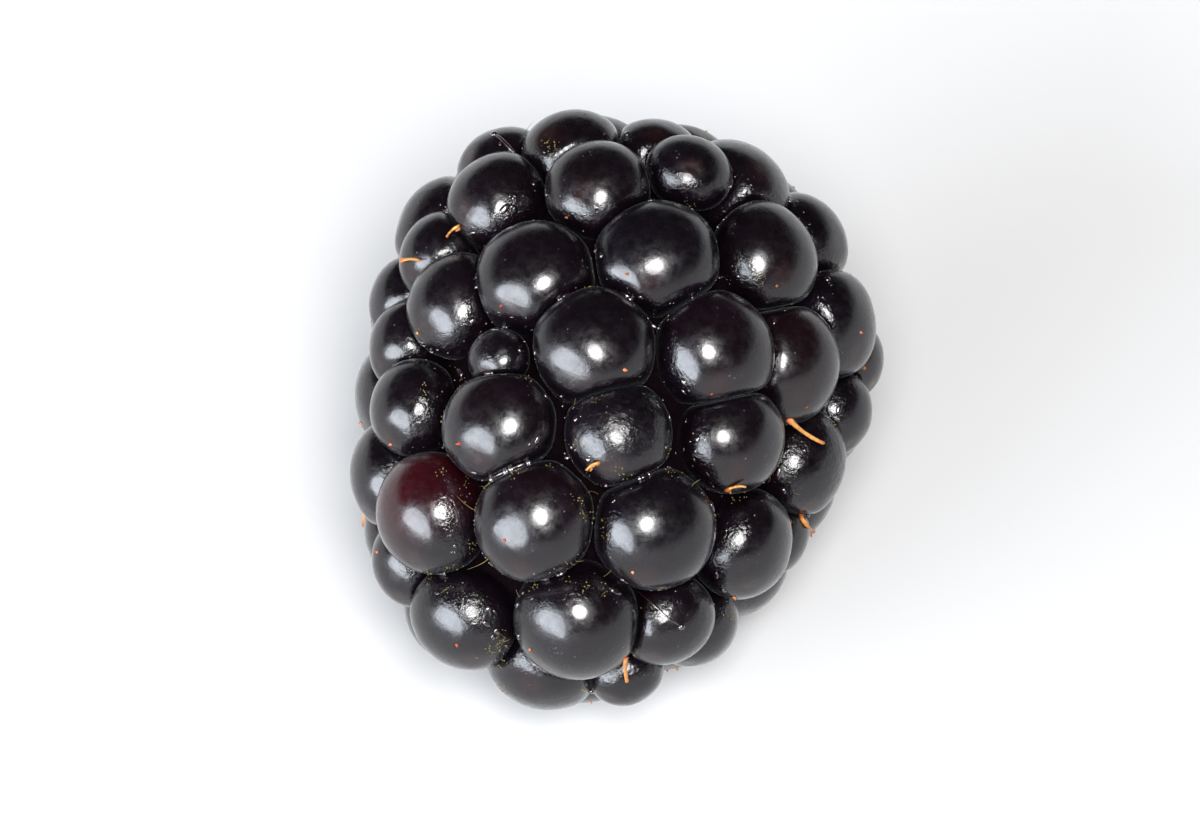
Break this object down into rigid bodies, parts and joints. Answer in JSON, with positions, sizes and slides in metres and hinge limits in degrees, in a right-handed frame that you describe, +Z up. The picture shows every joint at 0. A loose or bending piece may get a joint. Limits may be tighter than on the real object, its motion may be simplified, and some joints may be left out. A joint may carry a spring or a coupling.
{
  "type": "bramble berry",
  "caption": "Ripe dark bramble berry lying on its side: a cluster of round glossy drupelets grown together, pale receptacle end and dry styles.",
  "frame": {"origin": "on the surface that the berry rests on, under the middle of its bounding box", "axes": "+Z up, the berry's long axis along Y with its tip towards -Y and its stem end towards +Y"},
  "size_m": [0.022, 0.0258, 0.0216],
  "materials": {
    "drupelet_skin": "gloss",
    "receptacle_flesh": "matte",
    "style_thread": "matte"
  },
  "bodies": {
    "root": {"drupelets": "drupelet_skin", "receptacle": "receptacle_flesh", "style_01": "style_thread", "style_02": "style_thread", "style_03": "style_thread", "style_04": "style_thread", "style_05": "style_thread", "style_06": "style_thread", "style_07": "style_thread", "style_08": "style_thread", "style_09": "style_thread", "style_10": "style_thread", "style_11": "style_thread", "style_12": "style_thread"}
  },
  "joints": []
}
